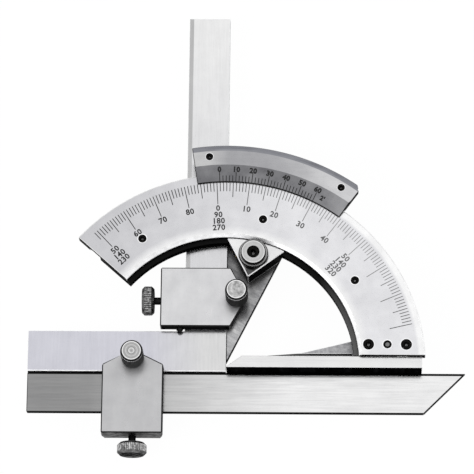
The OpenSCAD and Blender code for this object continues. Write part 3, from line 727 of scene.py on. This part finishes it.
class ANGLE_FINDER_OT_sector_side(bpy.types.Operator):
    """Sector plate, vernier bridge, vernier and brake block"""
    bl_idname = "angle_finder.sector_side"
    bl_label = "Sector side"

    def execute(self, context):
        looks = finishes()
        nut = middle("lock_nut")
        tip = (nut.x - 1.2 * MM, nut.y - 6.6 * MM, 0)
        slant_deg = 26.3
        band_r = 83.9 * MM
        band_border = 0.2 * MM

        def slant_highlight(finish):
            """Painted highlight on the sector plate's lower half, along its slanted edge"""
            return finish.times(finish.along(X, -4.5 * MM, -1 * MM, slant_deg),
                                finish.along(Y, 22 * MM, 30 * MM))

        def left_end(finish):
            """The vernier's end, past the upright leg"""
            return finish.along(X, 0, -7 * MM)

        def chamfer_shade_band(finish):
            """Painted shade: the outermost band of the vernier's flat face, in the chamfer's dark tone, so
            that the chamfer looks wider
            """
            return finish.reach(VERTEX, band_r, band_r + band_border)

        def under_the_nut(finish):
            """The shaded tip of the brake block"""
            return finish.reach(tip, 3.8 * MM, 1.6 * MM)

        # Painted shade: the sector plate darkens upwards, towards the brake block and the knob
        sector = ground("sector_steel", grey(0.62), (grey(0.26), Y, 17 * MM, 37 * MM), (300, 900, 900),
                        turn_deg=30, streak=0.35, mottle=0.3, zones=[(slant_highlight, grey(0.6))])
        plates = [sector, sector, edge_look(), side_look(), dark_edge_look()]
        machined("sector_plate", "sector", plates, looks.edge_width * 2)
        machined("vernier_bridge", "sector", plates, looks.edge_width)
        vernier = ground("vernier_steel", looks.vernier_tone, ((0.68, 0.68, 0.69), X, 15 * MM, 42 * MM),
                         (60, 500, 500), streak=0.08, mottle=0.15,
                         zones=[(left_end, grey(0.6)), (chamfer_shade_band, (0.28, 0.285, 0.31))])
        # Painted shade: the vernier's slope and chamfer are darker than its flat face
        slope = ground("vernier_slope_steel", (0.25, 0.25, 0.26), ((0.36, 0.36, 0.37), X, 20 * MM, 45 * MM),
                       (90, 90, 90), streak=0.35, mottle=0.2)
        chamfer = ground("vernier_chamfer_steel", (0.27, 0.275, 0.3), grain=(60, 300, 300), streak=0.3)
        machined("vernier", "sector",
                 [vernier, slope, chamfer, side_look(), dark_edge_look()],
                 looks.edge_width * 1.5, looks.hole_width * 0.6)
        brake = ground("brake_steel", grey(0.86), grain=(300, 300, 300), streak=0.08, mottle=0.08,
                       zones=[(under_the_nut, grey(0.09))])
        machined("brake_block", "sector",
                 [brake, edge_look(), edge_look(), side_look(), edge_look()], looks.edge_width * 2.5)
        return {"FINISHED"}


class ANGLE_FINDER_OT_arms(bpy.types.Operator):
    """Square and straightedge"""
    bl_idname = "angle_finder.arms"
    bl_label = "Arms"

    def execute(self, context):
        looks = finishes()
        foot_top = size("straightedge").y
        points = [vert.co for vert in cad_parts["square"].data.vertices]
        upright_left = min(point.x for point in points if point.y > 2 * foot_top)
        shade_w = 1.7 * MM
        crown_h = 3.2 * MM

        def left_strip(finish):
            """The shaded left edge of the upright leg"""
            return finish.before(X, upright_left + shade_w)

        def foot(finish):
            """The square's short leg, which lies along the straightedge"""
            return finish.before(Y, foot_top)

        def foot_right(finish):
            """The short leg's lighter right part"""
            return finish.times(finish.along(X, -30 * MM, -8 * MM), finish.before(Y, foot_top))

        def past_the_gear(finish):
            """Rises over the stretch between the gear and the upper clamp"""
            return finish.along(Y, 38.5 * MM, 60 * MM)

        square = ground("square_steel", looks.square_tone, (grey(0.86), Y, 50 * MM, 130 * MM),
                        (1300, 60, 900), streak=0.06, mottle=0.07, rough=0.2,
                        zones=[(left_strip, grey(0.52)), (foot, (0.65, 0.65, 0.71)),
                               (foot_right, grey(0.73))],
                        crown=(past_the_gear, crown_h))
        machined("square", "square_arm",
                 [square, edge_look(), edge_look(), side_look(), edge_look()], looks.edge_width)
        # Painted shade: the straightedge darkens towards its left end, and its bevels are painted near black
        straight = ground("straightedge_steel", grey(0.31), (grey(0.9), X, -52 * MM, 22 * MM),
                          (60, 1300, 1300), streak=0.14, rough=0.2)
        bevel = blackened("straightedge_bevel_steel", grey(0.012))
        machined("straightedge", "straightedge_arm",
                 [straight, bevel, bevel, side_look(), dark_edge_look()], looks.edge_width * 2)
        return {"FINISHED"}


class ANGLE_FINDER_OT_clamps(bpy.types.Operator):
    """Both clamp blocks with their pads and pins"""
    bl_idname = "angle_finder.clamps"
    bl_label = "Clamps"

    def execute(self, context):
        looks = finishes()
        dark = plain_steel("pad_steel", grey(0.02), tint=0.4)
        # Painted shade: the lower block's end wall is painted a dark grey
        end = blackened("clamp_end_steel", grey(0.22), (500, 200, 500))
        # Painted shade: the lower block gets a darker copy of the upper block's finish
        for which, body, lightness in (("upper", "sector", 1.0), ("lower", "square_arm", 0.785)):
            block_tone = tuple(c * lightness for c in looks.clamp_tone)
            block = ground(which + "_clamp_steel", block_tone, grain=(250, 60, 250), streak=0.06,
                           mottle=0.13, rough=0.3)
            machined(which + "_clamp_block", body,
                     [block, dark_edge_look(), dark_edge_look(), side_look(), dark_edge_look()],
                     looks.edge_width * 3.2, special=[(self.end_wall, end)] if which == "lower" else [],
                     chosen=self.outside)
            dress_node(which + "_pressure_pad", dark)
            self.pad_pin(which, body, dark)
        return {"FINISHED"}

    def end_wall(self, face):
        """Whether a face is the lower block's wall that points towards -Y"""
        return face.normal.y < -0.7

    def outside(self, edge):
        """Whether a clamp block's edge is a long one at its top, or under its end wall"""
        long = 3 * MM
        heights = [vert.co.z for vert in edge.verts]
        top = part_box("upper_clamp_block")[1].z
        return edge.calc_length() > long and (max(heights) > top - WELD or max(heights) < 0)

    def pad_pin(self, which, body, dark):
        node = which + "_pad_pin"
        axis = Y if which == "upper" else X
        length = size(node)[axis]
        radius = size(node).z / 2
        chamfer = 0.7 * MM
        bm = turned([(0, 0), (radius - chamfer, 0), (radius, chamfer), (radius, length - chamfer),
                     (radius - chamfer, length), (0, length)], steps=40)
        lay_along(bm, node, axis)
        for face in bm.faces:
            face.material_index = 0
        put_in_scene(bm, node + "_chamfered", body, [dark], [node])


class ANGLE_FINDER_OT_knobs(bpy.types.Operator):
    """Knurled clamp knobs, thumb screws, lock nut and fine-adjustment knob"""
    bl_idname = "angle_finder.knobs"
    bl_label = "Knobs"

    def execute(self, context):
        ridges = context.scene.angle_finder_knurls
        for which in ("upper", "lower"):
            self.clamp_knob(which, ridges)
            self.thumb_screw(which, ridges)
        self.lock_nut(ridges)
        self.back_knob(ridges)
        return {"FINISHED"}

    def clamp_knob(self, which, ridges):
        node = which + "_clamp_knob"
        low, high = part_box(node)
        head_r = size(node).x / 2
        seat = high.z - 10.6 * MM
        shank_r = 1.5 * MM
        shank_chamfer = 0.3 * MM
        chamfer = 0.75 * MM
        groove = 0.12 * MM
        knurl_top = high.z - 1.3 * MM
        knurl_low = seat + 0.9 * MM
        dish_t = 0.06 * MM
        centre_r = 0.5 * MM
        centre_t = 0.18 * MM
        bm = turned([(0, low.z), (shank_r - shank_chamfer, low.z), (shank_r, low.z + shank_chamfer),
                     (shank_r, seat), (head_r - chamfer, seat), (head_r - groove, seat + chamfer),
                     (head_r - groove, knurl_low - groove), (head_r, knurl_low), (head_r, knurl_top),
                     (head_r - groove, knurl_top + groove), (head_r - groove, high.z - chamfer),
                     (head_r - chamfer, high.z), (head_r - 2 * chamfer, high.z),
                     (centre_r, high.z - dish_t), (0, high.z - centre_t)], 2 * ridges.knob_teeth)
        knurl(bm, ridges.knob_teeth, ridges.depth, knurl_low, knurl_top, head_r)
        centre = stand_at(bm, middle(node))
        for face in bm.faces:
            if face.material_index == SIDE and min(vert.co.z for vert in face.verts) > knurl_top - WELD:
                face.material_index = EDGE
        face_r = head_r - chamfer
        rim_w = 0.35 * MM
        if which == "upper":
            worn = 0.14
            end = turned_face("upper_knob_face", grey(0.68), centre, face_r, rim_w, contrast=0.25, blotch=1.0)
        else:
            worn = 0.3
            end = turned_face("lower_knob_face", grey(0.75), centre, face_r, rim_w, ring=0.6 * MM,
                              contrast=0.85)
        grip = knurled(which + "_knob_knurl", grey(worn), grey(0.005), oily=0.05)
        put_in_scene(bm, node + "_knurled", which + "_knob",
                     [end, end, dark_edge_look(), grip, edge_look()], [node])

    def thumb_screw(self, which, ridges):
        node = which + "_thumb_screw"
        axis = X if which == "upper" else Y
        head_r = size(node)[1 - axis] / 2
        length = size(node)[axis]
        neck_r = 1.4 * MM
        thread_r = 1.5 * MM
        tip_r = 1.1 * MM
        tip_chamfer = 0.4 * MM
        chamfer = 1 * MM
        head_low = length - 4.6 * MM
        neck_low = head_low - 2.6 * MM
        dish_r = head_r - 2.3 * chamfer
        dish_t = 0.15 * MM
        bm = turned([(0, 0), (tip_r, 0), (thread_r, tip_chamfer), (thread_r, neck_low), (neck_r, neck_low),
                     (neck_r, head_low), (head_r - chamfer, head_low), (head_r, head_low + chamfer),
                     (head_r, length - chamfer), (head_r - chamfer, length), (head_r - 2 * chamfer, length),
                     (dish_r, length - dish_t), (0, length - dish_t)], 2 * ridges.thumb_teeth)
        neck_slot, chamfer_slot, grip_slot = range(3)
        for face in bm.faces:
            if max(vert.co.xy.length for vert in face.verts) < tip_r + chamfer:
                face.material_index = neck_slot
            else:
                face.material_index = grip_slot if face.material_index == SIDE else chamfer_slot
        knurl(bm, ridges.thumb_teeth, ridges.depth * 1.5, head_low + chamfer, length - chamfer, head_r)
        lay_along(bm, node, axis)
        # Painted shade: the necks under the heads are near black, and the heads' chamfers are painted dark
        neck = blackened(which + "_thumb_neck", grey(0.01))
        ridge, groove = (0.8, 0.005) if which == "upper" else (0.95, 0.0153)
        chamfers = plain_steel(which + "_thumb_chamfer", grey(0.16), grain=700, tint=0.1, spread=0.7)
        grip = knurled(which + "_thumb_knurl", grey(ridge), grey(groove), tint=0.15, oily=0.2)
        put_in_scene(bm, node + "_knurled", which + "_thumb",
                     [neck, chamfers, grip], [node])

    def lock_nut(self, ridges):
        low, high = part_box("lock_nut")
        rim_r = size("lock_nut").x / 2
        face_r = 4.7 * MM
        collar_r = 4.4 * MM
        bore_r = 2.26 * MM
        bore_chamfer = 0.15 * MM
        chamfer = 0.35 * MM
        cap_t = 3.2 * MM
        rim_low = high.z - cap_t
        rim_top = rim_low + 0.45 * cap_t
        bm = turned([(bore_r, low.z), (collar_r, low.z), (collar_r, rim_low), (rim_r - chamfer / 2, rim_low),
                     (rim_r, rim_low + chamfer / 2), (rim_r, rim_top - chamfer), (rim_r - chamfer, rim_top),
                     (face_r, rim_top), (face_r, high.z - chamfer), (face_r - chamfer, high.z),
                     (bore_r + bore_chamfer, high.z), (bore_r, high.z - bore_chamfer), (bore_r, low.z)],
                    2 * ridges.nut_teeth)
        knurl(bm, ridges.nut_teeth, ridges.depth, rim_low + chamfer / 2, rim_top - chamfer, rim_r)
        centre = stand_at(bm, middle("lock_nut"))
        for face in bm.faces:
            if face.material_index == FLAT and face.calc_center_median().z < high.z - WELD:
                face.material_index = EDGE
        end = turned_face("nut_face", grey(0.6), centre, face_r - chamfer, blotch=0.15)
        rim = turned_face("nut_rim", grey(0.36), centre, rim_r)
        grip = knurled("nut_knurl", grey(0.05), grey(0.006))
        put_in_scene(bm, "lock_nut_knurled", "brake_nut",
                     [end, end, dark_edge_look(), grip, rim], ["lock_nut"])

    def back_knob(self, ridges):
        low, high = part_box("back_knob")
        outer_r = size("back_knob").x / 2
        hub_r = 4 * MM
        bore_r = 1.55 * MM
        chamfer = 0.6 * MM
        knob_high = low.z + 7.2 * MM
        bm = turned([(bore_r, low.z + chamfer), (bore_r + chamfer, low.z), (outer_r - chamfer, low.z),
                     (outer_r, low.z + chamfer), (outer_r, knob_high - chamfer),
                     (outer_r - chamfer, knob_high), (hub_r, knob_high), (hub_r, high.z),
                     (bore_r, high.z), (bore_r, low.z + chamfer)], 2 * ridges.thumb_teeth)
        knurl(bm, ridges.thumb_teeth, ridges.depth * 1.3, low.z + chamfer, knob_high - chamfer, outer_r)
        centre = stand_at(bm, middle("back_knob"))
        end = turned_face("back_knob_face", grey(0.6), centre, outer_r - chamfer)
        grip = knurled("back_knob_knurl", grey(0.34), grey(0.06), tint=0.8)
        put_in_scene(bm, "back_knob_knurled", "pinion_shaft",
                     [end, end, edge_look(), grip], ["back_knob"])


class ANGLE_FINDER_OT_screws(bpy.types.Operator):
    """Blackened screws, dowel and stud, and the small parts inside"""
    bl_idname = "angle_finder.screws"
    bl_label = "Screws"

    def execute(self, context):
        # The lighter second finish is a painted highlight in the socket floors and the dowel's centre
        black = [black_oxide(), plain_steel("socket_floor_highlight", grey(0.2))]
        head_t = 1.5 * MM
        stud_head_t = 3.6 * MM
        for node, body, shank_share, thickness in (
                ("gear_screws", "base_frame", 0.64, head_t), ("base_screws", "base_frame", 0.63, head_t),
                ("vernier_screws", "sector", 0.71, head_t), ("brake_stud", "sector", 0.68, stud_head_t)):
            screws = []
            for low, high in solids(node):
                head_r = (high.x - low.x) / 2
                screws.append(socket_screw((low + high) / 2, head_r, head_r * shank_share, low.z, high.z,
                                           thickness))
            put_in_scene(joined(screws), node + "_blackened", body, black, [node])
        self.dowel(black)
        dress_node("bridge_screws", plain_steel("bridge_screw_steel", grey(0.05)))
        dress_node("knob_grub", plain_steel("grub_steel", grey(0.05)))
        dress_node("pinion", plain_steel("pinion_steel", grey(0.45)))
        dress_node("pinion_bush", plain_steel("bush_brass", (0.72, 0.52, 0.24)))
        return {"FINISHED"}

    def dowel(self, black):
        low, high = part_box("base_dowel")
        radius = size("base_dowel").x / 2
        rounding = 0.25 * MM
        shoulder = 0.3 * rounding
        dimple_r = 0.4 * MM
        dimple_t = 0.3 * MM
        bright_r = 0.4 * radius
        bm = turned([(0, low.z), (radius - rounding, low.z), (radius, low.z + rounding),
                     (radius, high.z - rounding), (radius - rounding, high.z - shoulder),
                     (radius / 2, high.z), (dimple_r, high.z), (0, high.z - dimple_t)], steps=48)
        # Painted highlight: the dowel's centre takes the lighter finish
        for face in bm.faces:
            face.material_index = int(face.calc_center_median().xy.length < bright_r)
        stand_at(bm, middle("base_dowel"))
        put_in_scene(bm, "base_dowel_blackened", "base_frame", black, ["base_dowel"])


class ANGLE_FINDER_OT_degree_scale(bpy.types.Operator):
    """Degree marks and numbers on the main plate"""
    bl_idname = "angle_finder.degree_scale"
    bl_label = "Degree scale"

    def execute(self, context):
        marks = context.scene.angle_finder_scale
        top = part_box("main_plate")[1].z
        inner_r = {10: 63.4 * MM, 5: 66.2 * MM, 1: 68.5 * MM}
        row_r = (61.9 * MM, 59.3 * MM, 56.8 * MM, 54.2 * MM)    # rows of numbers, from the marks inwards
        labels = {-40: ("50", "140", "230"), -30: ("60",), -20: ("70",), -10: ("80",),
                  0: ("0", "90", "180", "270"), 10: ("10",), 20: ("20",), 30: ("30",), 40: ("40",),
                  50: ("50", "140", "230", "320")}
        fill = finishes().mark_tone
        bm = bmesh.new()
        for degree in range(marks.first_degree, marks.last_degree + 1):
            rank = 10 if degree % 10 == 0 else 5 if degree % 5 == 0 else 1
            line_mark(bm, inner_r[rank], SCALE_R, degree + marks.zero_deg, marks.line_width, top, top)
        put_in_scene(bm, "degree_marks", "base_frame",
                     [mark_fill("degree_mark_fill", fill, grey(0.38))])
        bm = bmesh.new()
        for degree, rows in labels.items():
            for text, radius in zip(rows, row_r):
                number_mark(bm, text, radius, degree + marks.zero_deg, marks.number_height,
                            marks.number_weight, top)
        put_in_scene(bm, "degree_numbers", "base_frame",
                     [mark_fill("degree_number_fill", fill, grey(0.2))])
        return {"FINISHED"}


class ANGLE_FINDER_OT_vernier_scale(bpy.types.Operator):
    """Minute marks and numbers on the vernier's slope"""
    bl_idname = "angle_finder.vernier_scale"
    bl_label = "Vernier scale"

    def execute(self, context):
        marks = context.scene.angle_finder_scale
        low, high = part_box("vernier")
        lip = low.z + 0.8 * MM
        slope_w = 6.35 * MM
        rise = (high.z - lip) / slope_w
        slant = math.atan(rise)
        divisions = 30
        spread_deg = 29
        clearance = 0.05 * MM
        short = 2.3 * MM
        long = 3.6 * MM
        number_in = 4.65 * MM
        note_in = 2.6 * MM
        note_gap_deg = 2.3
        note_deg = marks.vernier_zero_deg + spread_deg + note_gap_deg
        bm = bmesh.new()
        for step in range(divisions + 1):
            degrees = marks.vernier_zero_deg + step * spread_deg / divisions
            length = long if step % 5 == 0 else short
            line_mark(bm, SCALE_R + clearance, SCALE_R + length, degrees, marks.line_width,
                      lip + clearance * rise, lip + length * rise)
            if step % 5 == 0:
                number_mark(bm, str(2 * step), SCALE_R + number_in, degrees, marks.vernier_number_height,
                            marks.vernier_number_weight, lip + number_in * rise, slant)
        number_mark(bm, "2'", SCALE_R + note_in, note_deg, marks.vernier_number_height * 0.9,
                    marks.vernier_number_weight, lip + note_in * rise, slant)
        put_in_scene(bm, "vernier_marks", "sector",
                     [mark_fill("vernier_mark_fill", finishes().mark_tone)])
        return {"FINISHED"}


class ANGLE_FINDER_OT_stage(bpy.types.Operator):
    """Floor, world, lamps and camera"""
    bl_idname = "angle_finder.stage"
    bl_label = "Stage"

    def execute(self, context):
        stage = context.scene.angle_finder_stage
        self.floor(stage)
        self.world(context.scene)
        self.lamps()
        self.camera(context.scene, stage)
        context.scene.view_settings.view_transform = "Standard"
        return {"FINISHED"}

    def seen_share(self, tree):
        """1 for what the camera, a reflection or glass sees, and 0 for what lights the object"""
        seen = add_node(tree, "LightPath", output="Is Camera Ray")
        for name in ("Is Glossy Ray", "Is Transmission Ray"):
            ray = add_node(tree, "LightPath", output=name)
            seen = add_node(tree, "Math", {0: seen, 1: ray}, operation="MAXIMUM")
        return seen

    def floor(self, stage):
        gap = 0.15 * MM
        half = 3.0
        bm = bmesh.new()
        bmesh.ops.create_grid(bm, x_segments=1, y_segments=1, size=half)
        bmesh.ops.translate(bm, vec=(0, 0, cad_bounds[0][2] - gap), verts=bm.verts)
        mesh = bpy.data.meshes.new("floor")
        bm.to_mesh(mesh)
        bm.free()
        floor = bpy.data.objects.new("floor", mesh)
        bpy.context.scene.collection.objects.link(floor)
        paper = bpy.data.materials.new("floor_paper")
        paper.use_nodes = True
        tree = paper.node_tree
        tree.nodes.remove(tree.nodes["Principled BSDF"])
        lit = add_node(tree, "BsdfDiffuse", {"Color": tone(grey(0.9))})
        white = add_node(tree, "Emission", {"Strength": 1.02})
        share = add_node(tree, "Math", {0: self.seen_share(tree), 1: 1 - stage.shadow}, operation="MULTIPLY")
        both = add_node(tree, "MixShader", {0: share, 1: lit, 2: white})
        join(both, tree.nodes["Material Output"].inputs["Surface"])
        mesh.materials.append(paper)

    def world(self, scene):
        scene.world = bpy.data.worlds.new("studio")
        scene.world.use_nodes = True
        tree = scene.world.node_tree
        soft = tree.nodes["Background"]
        soft.inputs["Color"].default_value = (0.62, 0.62, 0.63, 1)
        white = add_node(tree, "Background", {"Color": (1, 1, 1, 1)})
        both = add_node(tree, "MixShader", {0: self.seen_share(tree), 1: soft.outputs[0], 2: white})
        join(both, tree.nodes["World Output"].inputs["Surface"])

    def lamps(self):
        for name, place, width, power in (
                ("key_lamp", Vector((-0.55, -0.35, 0.75)), 0.5, 2.6),
                ("fill_lamp", Vector((0.7, 0.3, 0.8)), 0.6, 1.2)):
            lamp = bpy.data.lights.new(name, "AREA")
            lamp.size = width
            lamp.energy = power
            holder = bpy.data.objects.new(name, lamp)
            holder.matrix_world = (Matrix.Translation(place)
                                   @ (-place).to_track_quat("-Z", "Y").to_matrix().to_4x4())
            bpy.context.scene.collection.objects.link(holder)

    def camera(self, scene, stage):
        target = Vector((3.6, 53.3, 2.7)) * MM
        tilt = math.radians(stage.tilt_deg)
        pan = math.radians(stage.pan_deg)
        backward = Vector((math.sin(pan) * math.cos(tilt), -math.sin(tilt), math.cos(tilt) * math.cos(pan)))
        backward.normalize()
        right = Vector((0, 1, 0)).cross(backward).normalized()
        turn = Matrix((right, backward.cross(right), backward)).transposed().to_4x4()
        data = bpy.data.cameras.new("camera")
        data.sensor_width = 36
        data.lens = stage.lens
        camera = bpy.data.objects.new("camera", data)
        camera.matrix_world = (Matrix.Translation(target + stage.distance * backward) @ turn
                               @ Matrix.Rotation(math.radians(stage.roll_deg), 4, "Z"))
        scene.collection.objects.link(camera)
        scene.camera = camera


class VIEW3D_PT_angle_finder(bpy.types.Panel):
    """The angle finder's pieces and settings"""
    bl_label = "Angle Finder"
    bl_space_type = "VIEW_3D"
    bl_region_type = "UI"
    bl_category = "Angle Finder"

    def draw(self, context):
        for operator in OPERATORS:
            self.layout.operator(operator.bl_idname)
        for name, group in SETTINGS.items():
            box = self.layout.box()
            values = getattr(context.scene, name)
            for prop in group.__annotations__:
                box.prop(values, prop)


OPERATORS = (
    ANGLE_FINDER_OT_base_side,
    ANGLE_FINDER_OT_sector_side,
    ANGLE_FINDER_OT_arms,
    ANGLE_FINDER_OT_clamps,
    ANGLE_FINDER_OT_knobs,
    ANGLE_FINDER_OT_screws,
    ANGLE_FINDER_OT_degree_scale,
    ANGLE_FINDER_OT_vernier_scale,
    ANGLE_FINDER_OT_stage,
)
SETTINGS = {
    "angle_finder_finish": FinishSettings,
    "angle_finder_scale": ScaleSettings,
    "angle_finder_knurls": KnurlSettings,
    "angle_finder_stage": StageSettings,
}


def register():
    for cls in (*SETTINGS.values(), *OPERATORS, VIEW3D_PT_angle_finder):
        bpy.utils.register_class(cls)
    for name, group in SETTINGS.items():
        setattr(bpy.types.Scene, name, bpy.props.PointerProperty(type=group))


def unregister():
    for name in SETTINGS:
        delattr(bpy.types.Scene, name)
    for cls in reversed((*SETTINGS.values(), *OPERATORS, VIEW3D_PT_angle_finder)):
        bpy.utils.unregister_class(cls)


def main():
    register()
    bpy.ops.angle_finder.base_side()
    bpy.ops.angle_finder.sector_side()
    bpy.ops.angle_finder.arms()
    bpy.ops.angle_finder.clamps()
    bpy.ops.angle_finder.knobs()
    bpy.ops.angle_finder.screws()
    bpy.ops.angle_finder.degree_scale()
    bpy.ops.angle_finder.vernier_scale()
    bpy.ops.angle_finder.stage()


if __name__ == "__main__":
    main()
